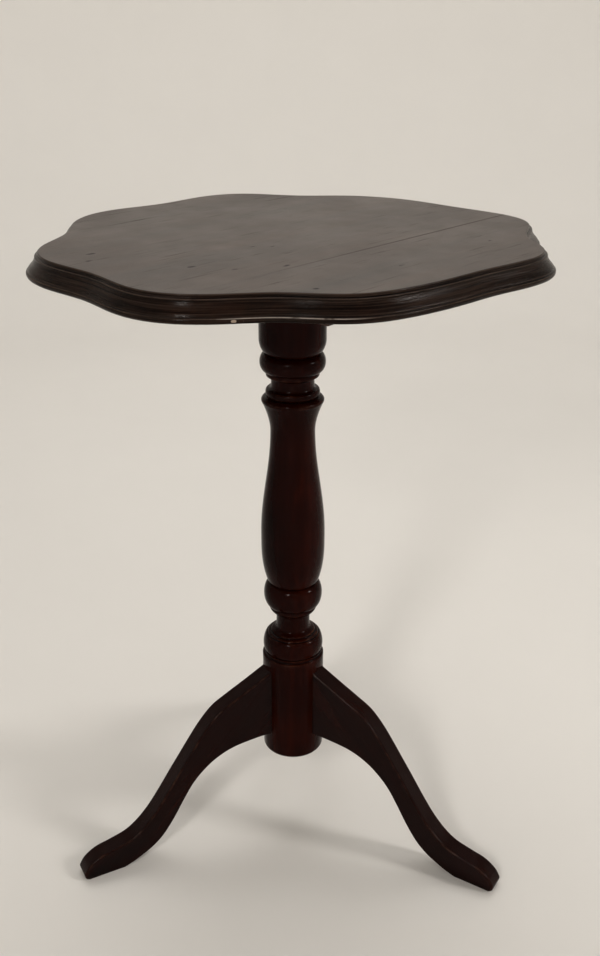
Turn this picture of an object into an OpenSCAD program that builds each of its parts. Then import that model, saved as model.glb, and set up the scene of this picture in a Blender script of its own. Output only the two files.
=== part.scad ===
// Tilt top table: a lobed three-board top with a moulded edge, pivoted on a
// block at the head of a turned column, on three S-curved legs.
// Millimetres, +Z up, floor at z = 0. +X runs along the grain of the top and
// along the pivot axis. Shapes are drawn around the column axis; at_axis() then
// sets that axis at y = axis_y, which centres the whole table on the origin.

/* [Top] */
// height of the upper face with the top down
table_h = 720; // [640:5:760]
// thickness of the boards
top_t = 23; // [18:1:26]
// mean radius of the flat upper face
top_r = 243.9; // [220:0.1:280]
// how far the moulded edge stands out below the upper face
moulding_out = 12; // [8:0.5:16]
// distance of both board joints from the middle
seam_y = 97; // [80:0.2:130]
// opening of the front board joint, which has let go
seam_gap = 0.4; // [0.1:0.1:1]
// straight sides in the outline of the top
outline_n = 96; // [64:8:128]

/* [Tilt mechanism] */
// width of the pivot block along the pivot axis
block_w = 120; // [90:2:150]
// thickness of the pivot block
block_t = 28.8; // [24:0.2:36]
// distance of the pivot axis from the column axis
pivot_y = 55; // [45:1:70]
// distance of the block's catch edge from the column axis
block_back = 70; // [60:1:90]
// air between the block and the underside of the top
lift_gap = 0.3; // [0.3:0.1:1]
// width of a bearer
bearer_w = 26; // [20:1:32]
// height of a bearer
bearer_h = 30; // [24:1:36]
// length of a bearer, across the grain
bearer_l = 330; // [300:10:400]
// radius of a pivot pin
pin_r = 5; // [4:0.5:7]
// radial play of a pivot pin in its bearer
pin_play = 0.05; // [0.01:0.01:0.1]

/* [Catch] */
// travel of the bolt
catch_travel = 9; // [6:0.5:12]
// width of the bolt
bolt_w = 12; // [8:1:16]
// thickness of the bolt
bolt_t = 6; // [4:0.5:8]

/* [Column] */
// radius of the hub that takes the legs
hub_r = 36; // [32:0.5:40]
// radius of the belly of the vase
belly_r = 36.1; // [30:0.1:42]
// radius of the plain cylinder under the block
collar_r = 35.9; // [30:0.1:42]
// height of the underside of the hub above the floor
hub_z0 = 95; // [60:1:120]
// height of the hub's upper edge above the floor
hub_z1 = 228; // [200:1:240]
// radius of the tenon through the block
tenon_r = 19; // [15:0.5:24]

/* [Legs] */
// thickness of a leg
leg_t = 22; // [18:1:30]
// direction of the first leg
leg_dir = 40; // [0:1:120]
// radius of a leg dowel
dowel_r = 5; // [4:0.5:6]

/* [Hidden] */
$fn = 64;
eps = 0.05;
axis_y = 10.8;
z_under = table_h - top_t;
pivot_z = z_under - lift_gap - block_t / 2;
block_z0 = pivot_z - block_t / 2;
block_z1 = pivot_z + block_t / 2;
bearer_x = block_w / 2 + 0.5 + bearer_w / 2;
// layers of the moulded edge: bottom, top, share of moulding_out
layers = [[0, 7, 1], [7, 9.8, 0.86], [9.8, 12.8, 0.66], [12.8, 15.8, 0.46],
          [15.8, 18.4, 0.29], [18.4, 20, 0.17], [20, top_t, 0]];
screw_r = 2.4;
screw_l = 38;
screw_ys = [-110, -38, 38, 110];
seam_xs = [-150, -50, 50, 150];
seam_dowel_r = 4;
seam_dowel_l = 50;
seam_dowel_z = z_under + 11.5;
dowel_l = 50;
dowel_zs = [150, 188];
dowel_x = hub_r - 24;
case_y0 = -154;
case_y1 = -80;
case_w = 24;
case_t = 12;
flange_w = 44;
flange_t = 2;
bolt_z0 = z_under - 8.6;
bolt_y0 = -124;
bolt_y1 = -62;
knob_y = -100;
stem_r = 2.5;
strike_w = 34;
strike_l = 26;
strike_t = 1.5;
catch_screws_at = [[-17, -146], [17, -146], [-17, -88], [17, -88]];
strike_screws_at = [[-12.5, -51], [12.5, -51]];
rise = (table_h - 720) / (720 - 320);
mahogany = [0.20, 0.09, 0.055];
dark_top = [0.25, 0.16, 0.12];
raw_wood = [0.36, 0.22, 0.14];
pale_wood = [0.62, 0.46, 0.30];
brass = [0.72, 0.55, 0.27];
steel = [0.50, 0.50, 0.50];

// ---- helpers -------------------------------------------------------------

// sets a shape drawn around the column axis in its place
module at_axis() {
    translate([0, axis_y, 0]) children();
}

// terms of the hand-cut outline: waves per turn, cosine part, sine part. The
// eighth makes the eight lobes; the first sets the top a little off centre
lobes = [[1, 2.23, 2.02], [2, 5.17, -1.91], [3, -3.16, -3.45], [4, 0.01, -1.34],
         [5, 0.36, -0.77], [6, 0.7, -1.19], [7, 0.9, -0.55], [8, -6.27, 5.35],
         [9, -0.87, -0.12], [10, -0.35, 0.79], [11, 1.41, -0.03],
         [12, 0.87, -0.68], [16, -0.26, 0.21]];
// radius of the upper face in direction a
function top_edge(a) = top_r + [for (l = lobes) 1]
    * [for (l = lobes) l[1] * cos(l[0] * a) + l[2] * sin(l[0] * a)];

// one point of a smooth curve through p0..p3, between p1 and p2
function curve(p0, p1, p2, p3, t) = 0.5 * (2 * p1 + (p2 - p0) * t
    + (2 * p0 - 5 * p1 + 4 * p2 - p3) * t * t
    + (3 * p1 - p0 - 3 * p2 + p3) * t * t * t);

// a smooth curve through a list of points, n steps from each to the next
function through(p, n) = concat([for (i = [0:len(p) - 2], k = [0:n - 1])
    curve(p[max(i - 1, 0)], p[i], p[i + 1], p[min(i + 2, len(p) - 1)], k / n)],
    [p[len(p) - 1]]);

// a turned bead between two heights
function bead(z0, z1, r, out, n = 10) = [for (i = [0:n])
    let (a = -90 + 180 * i / n)
    [r + out * cos(a), (z0 + z1) / 2 + (z1 - z0) / 2 * sin(a)]];

// a turned hollow between two heights
function cove(z0, z1, r0, r1, dip, n = 8) = [for (i = [0:n])
    let (t = i / n) [r0 + (r1 - r0) * t - dip * sin(180 * t), z0 + (z1 - z0) * t]];

// 2D outline of the top, moved outward by out
module outline(out) {
    polygon([for (i = [0:outline_n - 1])
        let (a = i * 360 / outline_n)
        (top_edge(a) + out) * [cos(a), sin(a)]]);
}

// the part of the moulded top between two straight joints
module board(y0, y1) {
    for (l = layers)
        translate([0, 0, z_under + l[0]])
            linear_extrude(l[1] - l[0])
                intersection() {
                    outline(moulding_out * l[2]);
                    translate([-300, y0]) square([600, y1 - y0]);
                }
}

// a countersunk wood screw, head down at z = 0, grown by g
module screw(r, head_r, l, g = 0) {
    rotate_extrude()
        polygon([[0, -g], [head_r + g, -g], [head_r + g, 0.4],
                 [r + g, head_r - r + 0.4 + g], [r + g, l - 4], [0, l + g]]);
}

module slotted_screw(r, head_r, l) {
    difference() {
        screw(r, head_r, l);
        translate([-head_r - 1, -0.6, -1]) cube([2 * head_r + 2, 1.2, 2]);
    }
}

module at_bearer_screws() {
    for (sx = [-1, 1], y = screw_ys)
        translate([sx * bearer_x, y, z_under - bearer_h]) children();
}

module at_seam_dowels(g) {
    for (s = [-1, 1], x = seam_xs)
        translate([x, s * seam_y - seam_dowel_l / 2 - g, seam_dowel_z])
            rotate([-90, 0, 0]) cylinder(r = seam_dowel_r + g, h = seam_dowel_l + 2 * g);
}

// ---- the top --------------------------------------------------------------

module top_board(y0, y1) {
    difference() {
        board(y0, y1);
        at_seam_dowels(0.03);
        at_bearer_screws() screw(screw_r, 4.5, screw_l, eps);
        for (p = catch_screws_at)
            translate([p[0], p[1], z_under - flange_t]) screw(1.5, 3, 13, eps);
    }
}

module board_front() { at_axis() color(dark_top) top_board(-300, -seam_y - seam_gap / 2); }
module board_centre() { at_axis() color(dark_top) top_board(-seam_y + seam_gap / 2, seam_y - 0.02); }
module board_back() { at_axis() color(dark_top) top_board(seam_y + 0.02, 300); }
module seam_dowels() { at_axis() color(pale_wood) at_seam_dowels(0); }

module bearer(sx) {
    at_axis() color(raw_wood)
    difference() {
        translate([sx * bearer_x - bearer_w / 2, 0, z_under])
            rotate([90, 0, 90]) linear_extrude(bearer_w)
                polygon([[-bearer_l / 2, 0], [bearer_l / 2, 0],
                         [bearer_l / 2, -11], [bearer_l / 2 - 42, -bearer_h],
                         [-bearer_l / 2 + 42, -bearer_h], [-bearer_l / 2, -11]]);
        translate([sx * bearer_x, pivot_y, pivot_z]) rotate([0, 90, 0])
            cylinder(r = pin_r + pin_play, h = bearer_w + 2, center = true);
        at_bearer_screws() screw(screw_r, 4.5, screw_l, eps);
    }
}

module bearer_left() { bearer(-1); }
module bearer_right() { bearer(1); }
module bearer_screws() {
    at_axis() color(steel) at_bearer_screws() slotted_screw(screw_r, 4.5, screw_l);
}

// ---- the pivot -------------------------------------------------------------

module pin_shape(sx, g) {
    translate([sx * (block_w / 2 - 28 - g), pivot_y, pivot_z])
        rotate([0, sx * 90, 0]) cylinder(r = pin_r + g, h = bearer_w + 29 + g);
}

module pivot_pins() {
    at_axis() color(steel) for (sx = [-1, 1]) {
        pin_shape(sx, 0);
        translate([sx * (bearer_x + bearer_w / 2 + 0.5), pivot_y, pivot_z])
            rotate([0, sx * 90, 0]) rotate_extrude()
                polygon([[0, 0], [8, 0], [8, 1.6], [6.6, 2.8], [4, 3.5], [0, 3.7]]);
    }
}

// the wedge and the saw cut it sits in, seen along x
module wedge_2d() {
    polygon([[-0.8, 0], [0.8, 0], [1.7, 24], [-1.7, 24]]);
}

module tenon_wedge() {
    at_axis() color(pale_wood)
    intersection() {
        translate([-30, 0, block_z1 - 24]) rotate([90, 0, 90])
            linear_extrude(60) wedge_2d();
        cylinder(r = tenon_r, h = block_z1);
    }
}

module pivot_block() {
    at_axis() color(raw_wood)
    difference() {
        translate([-block_w / 2, 0, 0]) rotate([90, 0, 90])
            linear_extrude(block_w) union() {
                translate([-block_back, block_z0])
                    square([block_back + pivot_y, block_t]);
                translate([pivot_y, pivot_z]) circle(r = block_t / 2);
            }
        translate([0, 0, block_z0 - 1]) cylinder(r = tenon_r + 0.03, h = block_t + 2);
        for (sx = [-1, 1]) pin_shape(sx, 0.02);
        // mortise for the nose of the bolt
        translate([-bolt_w / 2 - 2.5, -block_back - 1, bolt_z0 - 3.4])
            cube([bolt_w + 5, 14, 30]);
        // bed of the strike plate
        translate([-strike_w / 2, -block_back - 1, block_z1 - strike_t])
            cube([strike_w, strike_l + 1, 5]);
        for (p = strike_screws_at)
            translate([p[0], p[1], block_z1]) mirror([0, 0, 1]) screw(1.5, 3, 13, eps);
    }
}

// ---- the column ------------------------------------------------------------

// heights above the waist of the vase stretch with the height of the table
function zz(z) = z <= 320 ? z : z + (z - 320) * rise;

column_profile = concat(
    [[0, hub_z0], [hub_r - 5, hub_z0]],
    [for (a = [-75:15:0]) [hub_r - 5 + 5 * cos(a), hub_z0 + 5 + 5 * sin(a)]],
    [[hub_r, hub_z1 - 1.2], [hub_r - 1.2, hub_z1], [hub_r - 2.6, hub_z1 + 1.6],
     [hub_r - 2.8, hub_z1 + 3.4]],
    // domed base, with two thin rings cut round its shoulder
    [[33.3, 232.3], [34.3, 234.5], [34.9, 238], [35, 241], [34.6, 244.7], [33.9, 248.2],
     [32.8, 251.2], [31.3, 253.5], [29.8, 254.3], [29.2, 255.3], [27.9, 256.3],
     [26.4, 256.9], [25.4, 257.5], [25.2, 258.5], [24.4, 259.3], [22.8, 260],
     [21, 260.9], [19.7, 262.3], [19.4, 264.3]],
    // neck, then a fillet
    [[19.4, 280.7], [20.3, 282.7], [22.4, 284.2], [24.9, 285.1], [25.9, 286.6],
     [26.8, 287.6], [27.3, 289.6], [26.8, 292]],
    bead(292.7, 322.8, 26.75, 6.9, 12),
    // vase: lower part of the belly, then the long hollow sweep to the neck
    [for (t = [0.04:0.096:1]) [28.4 + (belly_r - 28.4) * (1 - pow(1 - t, 2.6)),
        323 + 53 * t]],
    [for (t = [0:0.0625:1]) [(belly_r + 24.5) / 2 + (belly_r - 24.5) / 2
        * cos(180 * t), 385 + 125 * t]],
    // flare up to the lip, a ring, a straight neck, a fillet and a bead
    [for (t = [0.12:0.11:1]) [24.5 + 8.8 * pow(t, 1.7), 510 + 32.5 * t]],
    [[33.8, 543.3], [34, 544.5], [33.7, 546.1], [32.4, 547.7], [30.6, 548.7]],
    bead(549.7, 557.3, 27.5, 1.9, 6),
    [[24.6, 558.2], [23.6, 559.7], [23.36, 561.3], [23.36, 569.2], [24.6, 571],
     [27.6, 571.8], [28.8, 572.6], [28.9, 576.2]],
    bead(576.8, 597.7, 28.5, 6.9, 12),
    // cup shoulder of the plain cylinder
    [for (t = [0:0.125:1]) [31.2 + (collar_r - 31.2) * (1 - pow(1 - t, 2.4)),
        598.3 + 15 * t]]);

module column() {
    at_axis() color(mahogany)
    difference() {
        union() {
            rotate_extrude() polygon(concat(
                [for (p = column_profile) [p[0], zz(p[1])]],
                [[collar_r, block_z0], [0, block_z0]]));
            translate([0, 0, block_z0 - 1]) cylinder(r = tenon_r, h = block_t + 0.6);
        }
        translate([-30, 0, block_z1 - 24]) rotate([90, 0, 90])
            linear_extrude(60) wedge_2d();
        for (k = [0:2]) rotate([0, 0, leg_dir + 120 * k]) leg_dowel_pair(0.03);
    }
}

// ---- the legs --------------------------------------------------------------

leg_top_line = [[30, 214], [60, 198.5], [84, 186.5], [103, 176], [119, 160],
                [132, 143], [146, 123], [160, 103], [175, 81], [190, 61],
                [205, 46], [220, 36.5], [240, 31], [257, 27], [270, 19],
                [277, 9], [277, 0]];
leg_low_line = [[229, 0], [217, 4], [204, 10], [191, 17.5], [178, 29], [164, 48],
                [150, 71], [137, 90], [120, 106], [103, 116], [84, 122],
                [58, 124.5], [30, 125]];

module leg_dowel_pair(g) {
    for (z = dowel_zs)
        translate([dowel_x - g, 0, z]) rotate([0, 90, 0])
            cylinder(r = dowel_r + g, h = dowel_l + 2 * g);
}

module leg(k) {
    at_axis() color(mahogany)
    rotate([0, 0, leg_dir + 120 * k])
        difference() {
            rotate([90, 0, 0]) translate([0, 0, -leg_t / 2]) linear_extrude(leg_t)
                polygon(concat(through(leg_top_line, 4), through(leg_low_line, 4)));
            cylinder(r = hub_r + 0.03, h = 400);
            leg_dowel_pair(0.03);
        }
}

module leg_back() { leg(0); }
module leg_left() { leg(1); }
module leg_front() { leg(2); }
module leg_dowels() {
    at_axis() color(pale_wood) for (k = [0:2])
        rotate([0, 0, leg_dir + 120 * k]) leg_dowel_pair(0);
}

// ---- the catch -------------------------------------------------------------

module catch_case() {
    slot_l = catch_travel + 0.6;
    at_axis() color(brass)
    difference() {
        union() {
            translate([-flange_w / 2, case_y0, z_under - flange_t])
                cube([flange_w, case_y1 - case_y0, flange_t]);
            translate([-case_w / 2, case_y0, z_under - flange_t - case_t])
                cube([case_w, case_y1 - case_y0, case_t + 1]);
        }
        // channel of the bolt and its spring
        translate([-bolt_w / 2 - 0.3, case_y0 + 3, bolt_z0 - 0.3])
            cube([bolt_w + 0.6, 100, bolt_t + 0.6]);
        // slot of the knob
        translate([-stem_r - 0.3, knob_y - slot_l, z_under - 20])
            cube([2 * stem_r + 0.6, slot_l + 0.3, 8 + bolt_t]);
        for (y = [knob_y - slot_l, knob_y + 0.3])
            translate([0, y, z_under - 20]) cylinder(r = stem_r + 0.3, h = 8 + bolt_t);
        for (p = catch_screws_at)
            translate([p[0], p[1], z_under - flange_t]) screw(1.5, 3, 13, eps);
    }
}

module catch_bolt() {
    at_axis() color(brass)
    difference() {
        translate([-bolt_w / 2, 0, bolt_z0]) rotate([90, 0, 90])
            linear_extrude(bolt_w)
                polygon([[bolt_y0, 0], [bolt_y1 - 8, 0], [bolt_y1, bolt_t - 2],
                         [bolt_y1, bolt_t], [bolt_y0, bolt_t]]);
        translate([0, knob_y, bolt_z0 - 1]) cylinder(r = stem_r + 0.01, h = bolt_t);
    }
}

module catch_knob() {
    at_axis() color(brass)
    translate([0, knob_y, bolt_z0]) mirror([0, 0, 1]) rotate_extrude()
        polygon([[0, -4.9], [stem_r, -4.9], [stem_r, 6.4], [4, 7.4], [4.4, 8.6],
                 [7.6, 9.4], [8.4, 11], [8.2, 13], [6.4, 14.8], [3.4, 15.6], [0, 15.8]]);
}

module catch_spring() {
    turns = 9;
    spring_l = bolt_y0 - case_y0 - 3 - 1;
    at_axis() color(steel)
    translate([0, case_y0 + 3.5, bolt_z0 + bolt_t / 2]) rotate([-90, 0, 0])
        linear_extrude(spring_l, twist = -360 * turns, slices = turns * 16, $fn = 6)
            translate([2.1, 0]) circle(r = 0.55, $fn = 6);
}

module catch_screws() {
    at_axis() color(brass) for (p = catch_screws_at)
        translate([p[0], p[1], z_under - flange_t]) slotted_screw(1.5, 3, 13);
}

module strike_plate() {
    at_axis() color(brass)
    difference() {
        translate([-strike_w / 2, -block_back, block_z1 - strike_t])
            cube([strike_w, strike_l, strike_t]);
        for (p = strike_screws_at)
            translate([p[0], p[1], block_z1]) mirror([0, 0, 1]) screw(1.5, 3, 13, eps);
    }
}

module strike_screws() {
    at_axis() color(brass) for (p = strike_screws_at)
        translate([p[0], p[1], block_z1]) mirror([0, 0, 1]) slotted_screw(1.5, 3, 13);
}

board_front();
board_centre();
board_back();
seam_dowels();
bearer_left();
bearer_right();
bearer_screws();
pivot_block();
pivot_pins();
tenon_wedge();
column();
leg_left();
leg_front();
leg_back();
leg_dowels();
catch_case();
catch_bolt();
catch_knob();
catch_spring();
catch_screws();
strike_plate();
strike_screws();
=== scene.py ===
from math import cos, pi, radians, sin

import bmesh
import bpy
from mathutils import Matrix, Vector, noise


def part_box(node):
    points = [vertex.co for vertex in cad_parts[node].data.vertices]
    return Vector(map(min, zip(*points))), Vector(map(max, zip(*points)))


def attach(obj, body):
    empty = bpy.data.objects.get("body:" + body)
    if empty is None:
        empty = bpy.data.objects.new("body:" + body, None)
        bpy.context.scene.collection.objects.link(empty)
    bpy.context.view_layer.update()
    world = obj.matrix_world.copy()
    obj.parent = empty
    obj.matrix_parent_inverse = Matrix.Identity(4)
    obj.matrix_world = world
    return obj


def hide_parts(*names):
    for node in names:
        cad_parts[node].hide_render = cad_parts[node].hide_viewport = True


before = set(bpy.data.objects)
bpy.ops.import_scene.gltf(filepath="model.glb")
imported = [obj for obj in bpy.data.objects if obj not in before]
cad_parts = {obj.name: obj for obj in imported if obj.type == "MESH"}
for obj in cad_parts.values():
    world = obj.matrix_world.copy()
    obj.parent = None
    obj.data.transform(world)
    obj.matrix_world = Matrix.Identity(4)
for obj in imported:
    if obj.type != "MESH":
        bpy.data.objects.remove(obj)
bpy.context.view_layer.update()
MM = 0.001

# ---- where the frame puts things --------------------------------------------
col_lo, col_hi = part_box("column")
AXIS = ((col_lo[0] + col_hi[0]) / 2, (col_lo[1] + col_hi[1]) / 2)
top_lo, top_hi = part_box("board_centre")
Z_TOP, Z_UNDER = top_hi[2], top_lo[2]
BLOCK_Z0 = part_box("pivot_block")[0][2]
HUB_Z0 = col_lo[2] / MM
# distance of both board joints from the middle, in millimetres
SEAM_Y = 97


def at(x, y, z):
    """A point given in millimetres from the column axis and the floor."""
    return (AXIS[0] + x * MM, AXIS[1] + y * MM, z * MM)


# ---- camera -------------------------------------------------------------------
LENS, SENSOR = 41.157, 36
CAMERA_AT = (-816.2, -750.2, 943.6)
CAMERA_RIGHT = Vector((0.67187, -0.74067, 0.00141)).normalized()
CAMERA_UP = Vector((0.29974, 0.27364, 0.91393))

cam_data = bpy.data.cameras.new("camera")
cam_data.lens = LENS
cam_data.sensor_width = SENSOR
cam_data.clip_start = 0.05
camera = bpy.data.objects.new("camera", cam_data)
bpy.context.collection.objects.link(camera)
back = CAMERA_RIGHT.cross(CAMERA_UP).normalized()
turned = Matrix((CAMERA_RIGHT, back.cross(CAMERA_RIGHT).normalized(), back)).transposed()
camera.matrix_world = Matrix.Translation(at(*CAMERA_AT)) @ turned.to_4x4()
bpy.context.scene.camera = camera
bpy.context.scene.view_settings.view_transform = "Standard"
bpy.context.scene.view_settings.gamma = 0.85


# ---- mesh helpers ----------------------------------------------------------------
def smooth(t):
    """Eases from 0 to 1, held at both ends."""
    t = min(1, max(0, t))
    return t * t * (3 - 2 * t)


def curve_through(points, n):
    """The same smooth curve as the CAD model draws through its points."""
    out = []
    for i in range(len(points) - 1):
        p = [Vector(points[max(0, min(len(points) - 1, k))]) for k in range(i - 1, i + 3)]
        for k in range(n):
            t = k / n
            out.append(0.5 * (2 * p[1] + (p[2] - p[0]) * t
                              + (2 * p[0] - 5 * p[1] + 4 * p[2] - p[3]) * t * t
                              + (3 * p[1] - p[0] - 3 * p[2] + p[3]) * t * t * t))
    return out + [Vector(points[-1])]


def obj_from(name, bm, materials, sharp=40, grain=None, marks=None):
    """Turns a bmesh into a piece, smooth but for its sharp edges. grain gives
    each point its coordinates along and across the wood's grain; marks gives
    its wear and its painted shade, which otherwise come from how sharply it is curved."""
    bmesh.ops.recalc_face_normals(bm, faces=bm.faces)
    for f in bm.faces:
        f.smooth = True
    for e in bm.edges:
        e.smooth = len(e.link_faces) == 2 and e.calc_face_angle(0) < radians(sharp)
    mesh = bpy.data.meshes.new(name)
    bm.to_mesh(mesh)
    bm.free()
    for m in materials:
        mesh.materials.append(m)
    # each point's wear, and its painted shade in concave creases
    worn = [marks(v.co) for v in mesh.vertices] if marks else by_curvature(mesh)
    for k, attribute in enumerate(("wear", "crease_shade")):
        mesh.attributes.new(attribute, "FLOAT", "POINT").data.foreach_set(
            "value", [w[k] for w in worn])
    along = mesh.attributes.new("grain", "FLOAT_VECTOR", "POINT")
    for v in mesh.vertices:
        along.data[v.index].vector = grain(v.co) if grain else v.co
    obj = bpy.data.objects.new(name, mesh)
    bpy.context.collection.objects.link(obj)
    return obj


def by_curvature(mesh):
    """For each point, how much it is worn and how much painted shade it gets in
    hollows: the first grows with its outward curvature, the second with its inward."""
    near = [[] for _ in mesh.vertices]
    for e in mesh.edges:
        a, b = e.vertices
        near[a].append(b)
        near[b].append(a)
    bend = []
    for v in mesh.vertices:
        s = 0.0
        for k in near[v.index]:
            d = mesh.vertices[k].co - v.co
            s -= 2 * d.dot(v.normal) / max(d.length_squared, 1e-8)
        bend.append(s / max(1, len(near[v.index])))
    bend = [(2 * bend[i] + sum(bend[k] for k in near[i])) / (2 + len(near[i]))
            for i in range(len(bend))]
    return [(smooth((b - 70) / 160), smooth((-b - 50) / 220)) for b in bend]


# ---- materials --------------------------------------------------------------------
class Nodes:
    """A short way to build a material's nodes."""

    def __init__(self, name):
        self.mat = bpy.data.materials.new(name)
        self.mat.use_nodes = True
        self.tree = self.mat.node_tree
        self.tree.nodes.clear()
        self.out = self.tree.nodes.new("ShaderNodeOutputMaterial")
        self.bsdf = self.add("BsdfPrincipled")
        self.tree.links.new(self.bsdf.outputs[0], self.out.inputs[0])

    def add(self, kind, **values):
        node = self.tree.nodes.new("ShaderNode" + kind)
        for k, v in values.items():
            setattr(node, k, v)
        return node

    def put(self, socket, value):
        if hasattr(value, "links"):
            self.tree.links.new(value, socket)
        else:
            socket.default_value = value
        return socket

    def coords(self, source):
        """source: "grain" reads the piece's own attribute, else the axis that
        the grain of a CAD node runs along."""
        if source == "grain":
            return self.add("Attribute", attribute_name="grain").outputs["Vector"]
        mapping = self.add("Mapping")
        self.put(mapping.inputs[0], self.add("TexCoord").outputs["Object"])
        if source == "Y":
            mapping.inputs["Rotation"].default_value = (0, 0, -pi / 2)
        if source == "Z":
            mapping.inputs["Rotation"].default_value = (0, pi / 2, 0)
        return mapping.outputs[0]

    def stretch(self, vector, scale, move=(0, 0, 0), turn=(0, 0, 0)):
        m = self.add("Mapping")
        self.put(m.inputs[0], vector)
        m.inputs["Location"].default_value = move
        m.inputs["Rotation"].default_value = turn
        m.inputs["Scale"].default_value = scale
        return m.outputs[0]

    def noise(self, vector, scale, detail=4, rough=0.55, distort=0.0):
        n = self.add("TexNoise")
        self.put(n.inputs["Vector"], vector)
        n.inputs["Scale"].default_value = scale
        n.inputs["Detail"].default_value = detail
        n.inputs["Roughness"].default_value = rough
        n.inputs["Distortion"].default_value = distort
        return n.outputs["Fac"]

    def ramp(self, value, lo, hi, a=0.0, b=1.0):
        """Maps lo..hi to a..b, smoothly and held at both ends."""
        r = self.add("MapRange", interpolation_type="SMOOTHSTEP")
        self.put(r.inputs["Value"], value)
        for k, v in (("From Min", lo), ("From Max", hi), ("To Min", a), ("To Max", b)):
            r.inputs[k].default_value = v
        return r.outputs[0]

    def math(self, op, a, b=0.0, c=0.0):
        m = self.add("Math", operation=op)
        for socket, v in zip(m.inputs, (a, b, c)):
            self.put(socket, v)
        return m.outputs[0]

    def mix(self, fac, a, b):
        m = self.add("Mix", data_type="RGBA")
        self.put(m.inputs["Factor"], fac)
        self.put(m.inputs["A"], a if hasattr(a, "links") else (*a, 1))
        self.put(m.inputs["B"], b if hasattr(b, "links") else (*b, 1))
        return m.outputs["Result"]

    def near(self, vector, point, lo, hi, squeeze=(1, 1, 1)):
        """1 at a point, falling to 0 between the distances lo and hi."""
        sub = self.add("VectorMath", operation="SUBTRACT")
        self.put(sub.inputs[0], vector)
        sub.inputs[1].default_value = point
        mul = self.add("VectorMath", operation="MULTIPLY")
        self.put(mul.inputs[0], sub.outputs[0])
        mul.inputs[1].default_value = squeeze
        length = self.add("VectorMath", operation="LENGTH")
        self.put(length.inputs[0], mul.outputs[0])
        return self.ramp(length.outputs["Value"], lo, hi, 1.0, 0.0)

    def bump(self, height, strength, distance, normal=None):
        b = self.add("Bump")
        self.put(b.inputs["Height"], height)
        b.inputs["Strength"].default_value = strength
        b.inputs["Distance"].default_value = distance
        if normal:
            self.put(b.inputs["Normal"], normal)
        return b.outputs[0]

    def most(self, values):
        """The largest of several values at each point."""
        found = values[0]
        for value in values[1:]:
            found = self.math("MAXIMUM", found, value)
        return found

    def attribute(self, name):
        """A number that the mesh carries, such as its wear."""
        return self.add("Attribute", attribute_name=name).outputs["Fac"]


def scaled(colour, k):
    """A colour made lighter or darker."""
    return tuple(c * k for c in colour)


def wood(name, source, dark, mid, light, rough, specular, figure=1.0, streaks=1.0,
         wear=0.0, rubbed=0.42, wear_colour=(0.16, 0.07, 0.04), pores=0.5, seed=0.0,
         extra=None):
    """Straight-grained mahogany: broad bands, ribbon figure, fine open pores.
    wear is how far the arrises fade to wear_colour, and rubbed how broken that
    is; extra adds a piece's own marks; seed moves the grain."""
    n = Nodes(name)
    p = n.coords(source)
    bands = n.noise(n.stretch(p, (2.2, 26, 26), (seed, seed, 0)), 1.0, 5, 0.6, 0.6)
    streak = n.noise(n.stretch(p, (5, 150, 150), (seed, 3, seed)), 1.0, 4, 0.6)
    ribbon = n.noise(n.stretch(p, (16, 9, 9), (0, seed, 5), (0, 0, 0.5)), 1.0, 3, 0.5)
    pore = n.noise(n.stretch(p, (45, 1500, 1500), (seed, 0, 7)), 1.0, 2, 0.5)
    pore_mask = n.ramp(pore, 0.60, 0.70)
    tone = n.math("ADD", n.math("MULTIPLY", bands, 0.6 * figure),
                  n.math("MULTIPLY", streak, 0.4 * figure * streaks))
    tone = n.math("ADD", tone, n.math("MULTIPLY", ribbon, 0.25 * figure))
    middle = figure * (0.41 + 0.2 * streaks)
    fac = n.ramp(tone, middle - 0.25 * figure, middle + 0.25 * figure)
    colour = n.mix(n.ramp(fac, 0.0, 0.55), dark, mid)
    colour = n.mix(n.ramp(fac, 0.5, 1.0), colour, light)
    colour = n.mix(n.math("MULTIPLY", pore_mask, pores), colour, scaled(dark, 0.45))
    patch = n.noise(p, 9, 3, 0.6)
    roughness = n.ramp(patch, 0.3, 0.7, *rough)
    if source == "grain":
        # darker in concave creases: painted shade
        colour = n.mix(n.math("MULTIPLY", n.attribute("crease_shade"), 0.75), colour,
                       scaled(dark, 0.35))
        worn = n.math("MULTIPLY", n.attribute("wear"),
                      n.ramp(n.noise(p, 55, 4, 0.7), rubbed, rubbed + 0.25))
        worn = n.math("MULTIPLY", worn, wear)
        colour = n.mix(worn, colour, wear_colour)
    normal = n.bump(n.math("ADD", n.math("MULTIPLY", pore_mask, -0.5),
                           n.math("MULTIPLY", streak, 0.25)), 0.35, 0.0003)
    normal = n.bump(n.noise(p, 38, 2), 0.12, 0.0012, normal)
    if extra:
        colour, roughness, normal = extra(n, p, colour, roughness, normal)
    n.put(n.bsdf.inputs["Base Color"], colour)
    n.put(n.bsdf.inputs["Roughness"], roughness)
    n.put(n.bsdf.inputs["Normal"], normal)
    n.bsdf.inputs["Specular IOR Level"].default_value = specular
    return n.mat


# marks on the upper face: place, radii along and across, from the column axis
DENTS = [((-165.0, -29.7), 5.5, 3.2), ((-192.7, 78.7), 7, 2.5), ((-212.1, 56.7), 6, 2.4),
         ((-103.6, -88.5), 6, 2.6), ((-149.2, -163.0), 5, 3), ((-67.4, -9.5), 4, 1.6),
         ((-53.9, -24.1), 4.5, 1.4), ((-33.2, -164.0), 4, 1.6), ((110.5, -163.1), 3, 1.6),
         ((-145.4, -64.2), 3.5, 1.5)]
# how far the outlines of the dents wander, in metres
WOBBLE = 0.005


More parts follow.
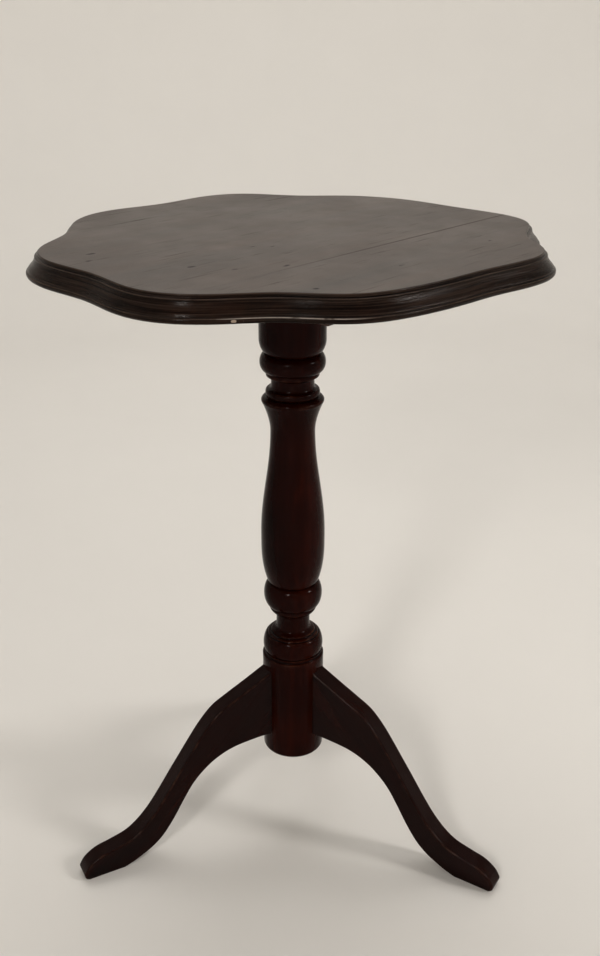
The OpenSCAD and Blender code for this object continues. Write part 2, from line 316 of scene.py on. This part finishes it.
def top_marks(n, p, colour, roughness, normal):
    """Dust film, rubbed patches, fine scratches and small dents."""
    cloud = n.noise(n.stretch(p, (1, 1.6, 1), (2, 0, 0)), 7, 6, 0.62, 0.4)
    film = n.ramp(cloud, 0.25, 0.8, 0.7, 1.0)
    colour = n.mix(n.math("MULTIPLY", film, 0.45), colour, (0.105, 0.080, 0.066))
    speckle = n.noise(p, 900, 2, 0.7)
    colour = n.mix(n.ramp(speckle, 0.45, 0.75, 0.0, 0.4), colour, (0.02, 0.013, 0.01))
    lines = []
    for k, (turn, scale, lo) in enumerate(((0.35, (9, 520, 1), 0.655),
                                           (-0.8, (12, 640, 1), 0.67),
                                           (1.9, (14, 700, 1), 0.68))):
        line = n.noise(n.stretch(p, scale, (k, 2 * k, 0), (0, 0, turn)), 1.0, 2, 0.5)
        some = n.ramp(n.noise(n.stretch(p, (1, 1, 1), (k * 3, 5, 0)), 16, 2), 0.45, 0.62)
        lines.append(n.math("MULTIPLY", n.ramp(line, lo, lo + 0.05), some))
    scratches = n.most(lines)
    colour = n.mix(n.math("MULTIPLY", scratches, 0.55), colour, (0.02, 0.012, 0.009))
    wobble = n.add("VectorMath", operation="ADD")
    n.put(wobble.inputs[0], p)
    tex = n.add("TexNoise")
    n.put(tex.inputs["Vector"], p)
    tex.inputs["Scale"].default_value = 160
    small = n.add("VectorMath", operation="SCALE")
    n.put(small.inputs[0], tex.outputs["Color"])
    small.inputs["Scale"].default_value = WOBBLE
    n.put(wobble.inputs[1], small.outputs[0])
    # the wobble adds half its reach on average, so the dents move with it
    dents = []
    for (x, y), rx, ry in DENTS:
        q = at(x, y, 0)
        dents.append(n.near(wobble.outputs[0], (q[0] + WOBBLE / 2, q[1] + WOBBLE / 2, Z_TOP),
                            0.25, 1.0, (1 / (rx * MM), 1 / (ry * MM), 0)))
    spots = n.most(dents)
    colour = n.mix(n.math("MULTIPLY", spots, 0.9), colour, (0.008, 0.005, 0.004))
    # dirt along the open joint
    split = n.add("SeparateXYZ")
    n.put(split.inputs[0], p)
    seam = at(0, -SEAM_Y, 0)
    off = n.math("ABSOLUTE", n.math("SUBTRACT", split.outputs["Y"], seam[1]))
    open_from, open_to = -190 * MM, 20 * MM
    line = n.math("MULTIPLY", n.ramp(off, 0.3 * MM, 1.1 * MM, 1.0, 0.0),
                  n.ramp(split.outputs["X"], open_from, open_to))
    colour = n.mix(n.math("MULTIPLY", line, 0.9), colour, (0.006, 0.004, 0.003))
    marks = n.math("MAXIMUM", n.math("MAXIMUM", scratches, line), spots)
    rough = n.math("ADD", roughness, n.math("ADD", n.math("MULTIPLY", film, 0.06),
                                            n.math("MULTIPLY", marks, 0.3)))
    deep = n.math("ADD", n.math("MULTIPLY", scratches, -0.6), n.math("MULTIPLY", spots, -1.0))
    normal = n.bump(deep, 0.6, 0.0005, normal)
    normal = n.bump(n.noise(n.stretch(p, (3, 9, 1)), 1.0, 3), 0.2, 0.004, normal)
    return colour, rough, normal


# chips in the lower bead that show paler wood: place and size, from the column axis
CHIPS = [((-213.5, -131), 4.5), ((-207, -136), 3), ((-242, -101), 3.5), ((-144.7, -205.6), 2.4),
         ((-141, -208), 1.6), ((-251, -6), 3), ((-256, -25), 4), ((-249.1, 43.0), 2)]


CHIP_H = 2.4
# middle of the painted highlight along the lower bead, from the column axis
BEAD_HIGHLIGHT = (-184, -168)
# one over its reach in metres: 71 mm along the edge, 2.5 mm up
BEAD_HIGHLIGHT_SQUEEZE = (14, 14, 400)


def edge_marks(n, p, colour, roughness, normal):
    """Cutter marks along the moulding; a painted highlight and chips in its lower bead."""
    lines = n.noise(n.stretch(p, (9, 9, 800)), 1.0, 4, 0.65)
    colour = n.mix(n.ramp(lines, 0.42, 0.7, 0.0, 0.75), colour, (0.05, 0.033, 0.025))
    colour = n.mix(n.ramp(lines, 0.5, 0.3, 0.0, 0.8), colour, (0.003, 0.0015, 0.001))
    normal = n.bump(lines, 0.6, 0.0006, normal)
    spots = []
    ragged = n.noise(p, 320, 3, 0.7)
    for (x, y), r in CHIPS:
        q = at(x, y, 0)
        spots.append(n.near(p, (q[0], q[1], Z_UNDER + 3.2 * MM), 0.35, 1.0,
                            (1 / (r * MM), 1 / (r * MM), 1 / (CHIP_H * MM))))
    chips = n.ramp(n.math("MULTIPLY", n.most(spots), n.math("ADD", ragged, 0.35)), 0.38, 0.5)
    # a pale line along a stretch of the lower bead: painted highlight
    middle = at(*BEAD_HIGHLIGHT, 0)
    painted_highlight = n.near(p, (middle[0], middle[1], Z_UNDER + 5 * MM), 0.6, 1.0, BEAD_HIGHLIGHT_SQUEEZE)
    painted_highlight = n.math("MULTIPLY", n.math("MULTIPLY", painted_highlight, n.attribute("wear")),
                 n.ramp(n.noise(p, 70, 3, 0.6), 0.3, 0.5))
    colour = n.mix(n.math("MULTIPLY", painted_highlight, 0.9), colour, (0.42, 0.37, 0.33))
    colour = n.mix(chips, colour, (0.36, 0.29, 0.23))
    roughness = n.math("ADD", roughness, n.math("MULTIPLY", chips, 0.35))
    return colour, roughness, normal


DARK, MID, LIGHT = (0.005, 0.0008, 0.0003), (0.015, 0.0017, 0.0005), (0.032, 0.0042, 0.0012)
face_wood = wood("mahogany_top_face", "grain", (0.012, 0.007, 0.005), (0.035, 0.02, 0.013),
                 (0.06, 0.034, 0.022), (0.30, 0.40), 0.5, extra=top_marks, seed=1.3)
edge_wood = wood("mahogany_moulding", "grain", (0.006, 0.003, 0.002), (0.014, 0.0075, 0.005),
                 (0.022, 0.010, 0.006), (0.12, 0.22), 0.09, wear=0.7, rubbed=0.25,
                 wear_colour=(0.11, 0.078, 0.06), extra=edge_marks, seed=2.1)
column_wood = wood("mahogany_turned", "grain", DARK, MID, LIGHT, (0.08, 0.14), 0.075,
                   streaks=0.3, pores=0.2, wear=0.3, seed=4.7)
# the legs take the turned wood's tones made darker: painted shade
shaded_leg_wood = wood("mahogany_legs_shaded", "grain", scaled(DARK, 0.8), scaled(MID, 0.75),
                scaled(LIGHT, 0.6), (0.16, 0.24), 0.14, figure=0.7, streaks=0.4,
                pores=0.25, wear=0.4,
                wear_colour=(0.085, 0.042, 0.028), seed=6.2)
under_wood = wood("mahogany_underside", "grain", (0.03, 0.015, 0.009), (0.07, 0.035, 0.02),
                  (0.11, 0.06, 0.035), (0.6, 0.75), 0.3, pores=0.7, seed=3.3)
FRAME_TONES = ((0.022, 0.008, 0.004), (0.045, 0.018, 0.009), (0.08, 0.036, 0.018))
bearer_wood = wood("hardwood_bearers", "Y", *FRAME_TONES, (0.5, 0.65), 0.35, seed=8.1)
block_wood = wood("hardwood_block", "X", *FRAME_TONES, (0.5, 0.65), 0.35, seed=9.4)
peg_wood = wood("pale_dowels", "X", (0.22, 0.14, 0.075), (0.36, 0.25, 0.15),
                (0.5, 0.37, 0.23), (0.55, 0.7), 0.35, seed=7.7)


def metal(name, base, stain, rough):
    """Brushed metal, stained in spots."""
    n = Nodes(name)
    p = n.add("TexCoord").outputs["Object"]
    spots = n.noise(p, 60, 5, 0.65)
    brushed = n.noise(n.stretch(p, (300, 12, 300)), 1.0, 3)
    fac = n.ramp(spots, 0.42, 0.68)
    n.put(n.bsdf.inputs["Base Color"], n.mix(fac, base, stain))
    n.put(n.bsdf.inputs["Roughness"], n.ramp(n.math("ADD", brushed, n.math(
        "MULTIPLY", spots, 0.5)), 0.4, 1.1, *rough))
    n.put(n.bsdf.inputs["Normal"], n.bump(brushed, 0.15, 0.0002))
    n.bsdf.inputs["Metallic"].default_value = 1.0
    return n.mat


brass = metal("aged_brass", (0.52, 0.34, 0.12), (0.2, 0.12, 0.05), (0.28, 0.5))
steel = metal("dull_steel", (0.34, 0.33, 0.32), (0.14, 0.1, 0.075), (0.3, 0.55))

for node, material in {
        "seam_dowels": peg_wood, "leg_dowels": peg_wood, "tenon_wedge": peg_wood,
        "bearer_left": bearer_wood, "bearer_right": bearer_wood, "pivot_block": block_wood,
        "bearer_screws": steel, "pivot_pins": steel, "catch_spring": steel,
        "catch_case": brass, "catch_bolt": brass, "catch_knob": brass,
        "catch_screws": brass, "strike_plate": brass, "strike_screws": brass}.items():
    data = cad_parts[node].data
    if not data.materials:
        data.materials.append(material)
    for k in range(len(data.materials)):
        data.materials[k] = material

# ---- the top ---------------------------------------------------------------------
TOP_R = 243.9
# terms of the hand-cut outline: waves per turn, cosine part, sine part
LOBES = [(1, 2.23, 2.02), (2, 5.17, -1.91), (3, -3.16, -3.45), (4, 0.01, -1.34),
         (5, 0.36, -0.77), (6, 0.7, -1.19), (7, 0.9, -0.55), (8, -6.27, 5.35),
         (9, -0.87, -0.12), (10, -0.35, 0.79), (11, 1.41, -0.03), (12, 0.87, -0.68),
         (16, -0.26, 0.21)]
AROUND = 720
# section of the moulded edge: distance out from the upper face's outline, height
# above the underside
SECTION = [(-6, 23), (-1.1, 23), (-0.45, 22.9), (-0.12, 22.65), (0.03, 22.3), (0.1, 21.8),
           (0.15, 21.2), (0.2, 20.7), (0.25, 20.4), (0.3, 20.15), (0.6, 19.95), (1.1, 19.85),
           (2.0, 19.7), (2.6, 19.5), (2.95, 19.2), (3.1, 18.8), (3.1, 18.4), (3.0, 18.1),
           (3.0, 17.8), (3.2, 17.2), (3.5, 16.4), (4.0, 15.3), (4.7, 14.0), (5.6, 12.6),
           (6.7, 11.2), (7.9, 10.0), (8.9, 9.0), (9.6, 8.1), (10.0, 7.3), (10.15, 6.8),
           (10.2, 6.4), (10.4, 6.1), (10.9, 5.85), (11.4, 5.6), (11.75, 5.2),
           (11.95, 4.6), (12.0, 4.0), (11.95, 3.2), (11.75, 2.3), (11.3, 1.4), (10.6, 0.7),
           (9.7, 0.25), (8.6, 0.0), (2.0, 0.0)]


def top_edge(a):
    """Radius of the upper face's outline at an angle."""
    return TOP_R + sum(c * cos(h * a) + s * sin(h * a) for h, c, s in LOBES)


# how far the moulding strays from true, in millimetres
UNEVEN = 0.12


def outline_point(a):
    return Vector((top_edge(a) * cos(a), top_edge(a) * sin(a)))


def top_piece(name, y0, y1, closing):
    """One board of the top. closing(x) narrows the open joint towards one end."""
    bm = bmesh.new()
    rings = []
    for out, z in SECTION:
        ring = []
        for k in range(AROUND):
            a = 2 * pi * k / AROUND
            p = outline_point(a)
            t = outline_point(a + 1e-3) - outline_point(a - 1e-3)
            normal = Vector((t.y, -t.x)).normalized()
            jitter = UNEVEN * noise.noise(Vector((p.x * 0.05, p.y * 0.05, z * 0.4)))
            p = p + normal * (out + (jitter if out > -1 else 0))
            ring.append(bm.verts.new(at(p.x, p.y, Z_UNDER / MM + z)))
        rings.append(ring)
    for i, (lower, upper) in enumerate(zip(rings, rings[1:])):
        for k in range(AROUND):
            j = (k + 1) % AROUND
            f = bm.faces.new((lower[k], lower[j], upper[j], upper[k]))
            f.material_index = 0 if i < 1 else (1 if i < len(SECTION) - 2 else 2)
    bm.faces.new(rings[0]).material_index = 0
    bm.faces.new(rings[-1]).material_index = 2
    bmesh.ops.recalc_face_normals(bm, faces=bm.faces)
    for y, side in ((y0, -1), (y1, 1)):
        if y is None:
            continue
        geom = bm.verts[:] + bm.edges[:] + bm.faces[:]
        cut = bmesh.ops.bisect_plane(bm, geom=geom, dist=1e-7,
                                     plane_co=at(0, y, 0), plane_no=(0, side, 0),
                                     clear_outer=True)
        rim = [e for e in cut["geom_cut"] if isinstance(e, bmesh.types.BMEdge)]
        fill = bmesh.ops.contextual_create(bm, geom=rim)
        for f in fill["faces"]:
            f.material_index = 2
        for v in bm.verts:
            if abs(v.co.y - at(0, y, 0)[1]) < 1e-6:
                v.co.y -= side * closing(y, (v.co.x - AXIS[0]) / MM) * MM
    return obj_from(name, bm, [face_wood, edge_wood, under_wood], 32,
                    marks=moulding_marks)


# heights above the underside of the moulding's arrises, which wear, and of its inner corners,
# which get painted shade
ARRISES = ((19.2, 0.5), (5.2, 0.55), (22.6, 0.5))
SHADED_CORNERS = ((20.15, 0.55), (6.4, 0.6), (17.9, 0.5))


def moulding_marks(c):
    """Wear on the moulding's arrises and painted shade in its corners."""
    z = (c.z - Z_UNDER) / MM
    if z > 22.95 or z < 0.05:  # the flat faces
        return 0, 0
    return tuple(max(smooth(1 - abs(z - h) / w) for h, w in lines)
                 for lines in (ARRISES, SHADED_CORNERS))


OPENING, SHUT = 0.3, 0.02


def joint_gap(y, x):
    """Half the width of a board joint. The front one has opened: it is wide at the
    +X end and shut at the other."""
    return OPENING * smooth((x + 200) / 330) + SHUT if y < 0 else SHUT


top_pieces = {
    "board_front": top_piece("top_front_board", None, -SEAM_Y, joint_gap),
    "board_centre": top_piece("top_centre_board", -SEAM_Y, SEAM_Y, joint_gap),
    "board_back": top_piece("top_back_board", SEAM_Y, None, joint_gap)}
for node, piece in top_pieces.items():
    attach(piece, "top")
    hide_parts(node)


# ---- the column ---------------------------------------------------------------------
def bead(z0, z1, r, out, n):
    """Points of half an ellipse that stands out from radius r."""
    return [(r + out * cos(a), (z0 + z1) / 2 + (z1 - z0) / 2 * sin(a))
            for a in (-pi / 2 + pi * i / n for i in range(n + 1))]


def steps(lo, hi, n):
    """n equal steps from lo to hi, both included."""
    return [lo + (hi - lo) * i / n for i in range(n + 1)]


def lathe(profile, n):
    """Turns a profile of (radius, height) about the column axis, n points round.
    Returns a bmesh; a radius of 0 is one point."""
    bm = bmesh.new()
    rings = [[bm.verts.new(at(r * cos(a), r * sin(a), z))
              for a in (2 * pi * k / n for k in range(n if r else 1))] for r, z in profile]
    for a, b in zip(rings, rings[1:]):
        for k in range(n):
            j = (k + 1) % n
            if len(a) == 1:
                bm.faces.new((a[0], b[j], b[k]))
            elif len(b) == 1:
                bm.faces.new((a[k], a[j], b[0]))
            else:
                bm.faces.new((a[k], a[j], b[j], b[k]))
    return bm


HUB_R, BELLY_R, COLLAR_R, HUB_Z1, TENON_R = 36.0, 36.1, 35.9, 228.0, 19.0
PROFILE = (
    [(0, HUB_Z0), (14, HUB_Z0), (26, HUB_Z0), (HUB_R - 5, HUB_Z0)]
    + [(HUB_R - 5 + 5 * cos(a), HUB_Z0 + 5 + 5 * sin(a))
       for a in (radians(d) for d in range(-75, 1, 15))]
    + [(HUB_R, z) for z in (112, 125, 150, 175, 200, 220, HUB_Z1 - 1.6)]
    + [(HUB_R - 0.4, HUB_Z1 - 0.5), (HUB_R - 1.2, HUB_Z1), (HUB_R - 2.2, HUB_Z1 + 0.3),
       (HUB_R - 2.7, HUB_Z1 + 0.9), (HUB_R - 2.9, HUB_Z1 + 2.2), (HUB_R - 2.8, HUB_Z1 + 3.4),
       (HUB_R - 2.3, HUB_Z1 + 4.5)]
    + [(33.3, 232.3), (33.8, 233.3), (34.3, 234.6), (34.7, 236.3), (34.95, 238.6),
       (35.0, 241), (34.9, 243), (34.6, 245), (34.2, 247), (33.7, 248.9), (32.95, 251),
       (32.1, 252.6), (31.3, 253.6), (30.6, 254.05), (29.9, 254.15), (29.45, 254.4),
       (29.35, 254.9), (29.4, 255.3), (29.0, 255.9), (28.2, 256.4), (27.2, 256.75),
       (26.3, 256.8), (25.5, 257.0), (25.2, 257.4), (25.3, 257.9), (25.25, 258.5),
       (24.8, 259.05), (23.9, 259.6), (22.6, 260.1), (21.3, 260.75), (20.3, 261.6),
       (19.7, 262.6), (19.4, 264.3), (19.4, 272), (19.4, 280), (19.7, 281.7),
       (20.6, 283), (22.0, 284), (23.6, 284.6), (24.6, 284.95), (25.2, 285.6),
       (25.8, 286.6), (26.6, 287.5), (27.1, 288.6), (27.3, 289.8), (27.2, 291.2),
       (26.8, 292)]
    + bead(292.7, 322.8, 26.75, 6.9, 26)
    + [(28.4 + (BELLY_R - 28.4) * (1 - (1 - t) ** 2.6), 323 + 53 * t)
       for t in steps(0.03, 1, 20)]
    + [((BELLY_R + 24.5) / 2 + (BELLY_R - 24.5) / 2 * cos(pi * t), 385 + 125 * t)
       for t in steps(0, 1, 28)]
    + [(24.5 + 8.8 * t ** 1.7, 510 + 32.5 * t) for t in steps(0.1, 1, 12)]
    + [(33.7, 543.1), (33.95, 543.8), (34.0, 544.6), (33.95, 545.4), (33.6, 546.3),
       (32.9, 547.2), (31.8, 548.1), (30.6, 548.7), (28.8, 549.2)]
    + bead(549.7, 557.3, 27.5, 1.9, 10)
    + [(25.6, 557.5), (24.5, 558.2), (23.8, 559.2), (23.45, 560.3), (23.36, 561.6),
       (23.36, 568.6), (23.7, 569.8), (24.6, 570.8), (26.2, 571.4), (27.7, 571.7),
       (28.5, 572.2), (28.85, 573), (28.9, 576.2)]
    + bead(576.8, 597.7, 28.5, 6.9, 22)
    + [(31.2 + (COLLAR_R - 31.2) * (1 - (1 - t) ** 2.4), 598.3 + 15 * t)
       for t in steps(0, 1, 12)]
    + [(COLLAR_R, 625), (COLLAR_R, 645), (COLLAR_R, BLOCK_Z0 / MM - 0.8),
       (COLLAR_R - 0.8, BLOCK_Z0 / MM), (TENON_R + 2, BLOCK_Z0 / MM),
       (TENON_R - 0.02, BLOCK_Z0 / MM), (TENON_R - 0.02, col_hi[2] / MM),
       (0, col_hi[2] / MM)])

TURNED = 192
column = obj_from("column_turned", lathe(PROFILE, TURNED), [column_wood], 50,
                  lambda c: (c.z, c.x - AXIS[0], c.y - AXIS[1]))
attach(column, "base")
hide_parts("column")

# ---- the legs -----------------------------------------------------------------------
LEG_TOP = [(30, 214), (60, 198.5), (84, 186.5), (103, 176), (119, 160), (132, 143),
           (146, 123), (160, 103), (175, 81), (190, 61), (205, 46), (220, 36.5), (240, 31),
           (257, 27), (270, 19), (276.4, 10), (277, 6), (275.6, 2.2), (272, 0)]
LEG_LOW = [(229, 0), (217, 4), (204, 10), (191, 17.5), (178, 29), (164, 48), (150, 71),
           (137, 90), (120, 106), (103, 116), (84, 122), (58, 124.5), (30, 125)]
LEG_T = 22.0
LEG_GRAIN = radians(-48)
LEG_ROUND, LEG_LOOP, LEG_STEPS = 2.6, 1.3, 6


def leg_piece(name, direction):
    """A leg cut from a board, its arrises rounded."""
    out = curve_through(LEG_TOP, LEG_STEPS) + curve_through(LEG_LOW, LEG_STEPS)
    d = Vector((cos(direction), sin(direction)))
    side = Vector((-d.y, d.x))

    def place(r, s, z):
        return at(d.x * r + side.x * s, d.y * r + side.y * s, z)

    bm = bmesh.new()
    faces = []
    for s in (-LEG_T / 2, LEG_T / 2):
        faces.append(bm.faces.new([bm.verts.new(place(p.x, s, p.y)) for p in out]))
    a, b = faces[0].verts[:], faces[1].verts[:]
    for k in range(len(a)):
        j = (k + 1) % len(a)
        bm.faces.new((a[k], a[j], b[j], b[k]))
    bmesh.ops.recalc_face_normals(bm, faces=bm.faces)
    rim = [e for e in bm.edges if any(f in faces for f in e.link_faces)]
    rounded = bmesh.ops.bevel(bm, geom=rim, offset=LEG_ROUND * MM, segments=5, profile=0.5,
                              affect="EDGES", clamp_overlap=True)["faces"]
    # a loop just inside each arris keeps its wear off the flat faces
    rounded = set(rounded)
    bmesh.ops.inset_region(bm, faces=[f for f in bm.faces if f not in rounded],
                           thickness=LEG_LOOP * MM, use_boundary=True, use_even_offset=True)

    def grain(c):
        r = (c.x - AXIS[0]) * d.x + (c.y - AXIS[1]) * d.y
        s = (c.x - AXIS[0]) * side.x + (c.y - AXIS[1]) * side.y
        return (r * cos(LEG_GRAIN) + c.z * sin(LEG_GRAIN), s + direction,
                -r * sin(LEG_GRAIN) + c.z * cos(LEG_GRAIN))

    return obj_from(name, bm, [shaded_leg_wood], 50, grain)


for node, turn in (("leg_back", 40), ("leg_left", 160), ("leg_front", 280)):
    leg = leg_piece(node + "_shaped", radians(turn))
    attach(leg, "base")
    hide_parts(node)

# ---- floor and light -----------------------------------------------------------------
floor_mat = Nodes("plain_floor")
p = floor_mat.add("TexCoord").outputs["Object"]
floor_mat.put(floor_mat.bsdf.inputs["Base Color"], floor_mat.mix(
    floor_mat.noise(p, 3, 4), (0.72, 0.70, 0.67), (0.75, 0.73, 0.70)))
floor_mat.bsdf.inputs["Roughness"].default_value = 0.7
floor_mat.bsdf.inputs["Specular IOR Level"].default_value = 0.3
# the floor sweeps up into a pale wall, far enough off for the camera to pass inside
FLAT_R, BEND_R, WALL_H, BEND_STEPS = 2100, 1100, 3400, 12
SWEEP = [(0, 0), (1200, 0), (FLAT_R, 0)] + [
    (FLAT_R + BEND_R * sin(a), BEND_R - BEND_R * cos(a))
    for a in (pi / 2 * k / BEND_STEPS for k in range(1, BEND_STEPS + 1))
] + [(FLAT_R + BEND_R, 2000), (FLAT_R + BEND_R, WALL_H)]
bm = lathe(SWEEP, 96)
bmesh.ops.reverse_faces(bm, faces=bm.faces)
for f in bm.faces:
    f.smooth = True
mesh = bpy.data.meshes.new("floor")
bm.to_mesh(mesh)
bm.free()
mesh.materials.append(floor_mat.mat)
floor = bpy.data.objects.new("floor", mesh)
bpy.context.collection.objects.link(floor)

# the camera's direction and its right-hand side, along the ground
VIEW_DIR = Vector((0.676, 0.612, 0)).normalized()
SIDE_DIR = Vector((0.671, -0.741, 0)).normalized()


def area(name, ahead, aside, height, size, power, colour, aim_z=0.4, size_y=None):
    """A soft light placed by the camera's ground direction, aimed at the table."""
    data = bpy.data.lights.new(name, "AREA")
    data.shape = "RECTANGLE"
    data.size, data.size_y = size, size_y or size
    data.energy, data.color = power, colour
    lamp = bpy.data.objects.new(name, data)
    bpy.context.collection.objects.link(lamp)
    spot = VIEW_DIR * ahead + SIDE_DIR * aside + Vector((0, 0, height))
    lamp.location = spot
    lamp.rotation_euler = (spot - Vector((0, 0, aim_z))).to_track_quat("Z", "Y").to_euler()
    return lamp


area("window_left", -2.4, -0.9, 1.9, 0.42, 28, (1.0, 0.98, 0.95), size_y=0.6)
area("window_right", -0.6, 2.5, 1.8, 0.42, 28, (1.0, 0.98, 0.95), size_y=0.7)
area("ceiling", 1.3, 0.0, 3.0, 2.0, 20, (1.0, 0.985, 0.96), aim_z=0.6)
wash = area("wall_wash", 1.6, 0.0, 2.9, 2.2, 24, (1.0, 0.985, 0.96))
away = VIEW_DIR * -1.2 + Vector((0, 0, 1.4))
wash.rotation_euler = away.to_track_quat("Z", "Y").to_euler()

# pale all round, palest behind the table as the camera sees it
world = bpy.data.worlds.new("studio")
world.use_nodes = True
tree = world.node_tree
side = tree.nodes.new("ShaderNodeVectorMath")
side.operation = "DOT_PRODUCT"
side.inputs[1].default_value = VIEW_DIR
tree.links.new(tree.nodes.new("ShaderNodeTexCoord").outputs["Generated"], side.inputs[0])
fade = tree.nodes.new("ShaderNodeMapRange")
fade.interpolation_type = "SMOOTHSTEP"
for socket, value in (("From Min", -0.5), ("From Max", 0.7),
                      ("To Min", 0.16), ("To Max", 0.66)):
    fade.inputs[socket].default_value = value
tree.links.new(side.outputs["Value"], fade.inputs["Value"])
background = tree.nodes["Background"]
background.inputs[0].default_value = (1.0, 0.972, 0.93, 1)
tree.links.new(fade.outputs[0], background.inputs[1])
bpy.context.scene.world = world
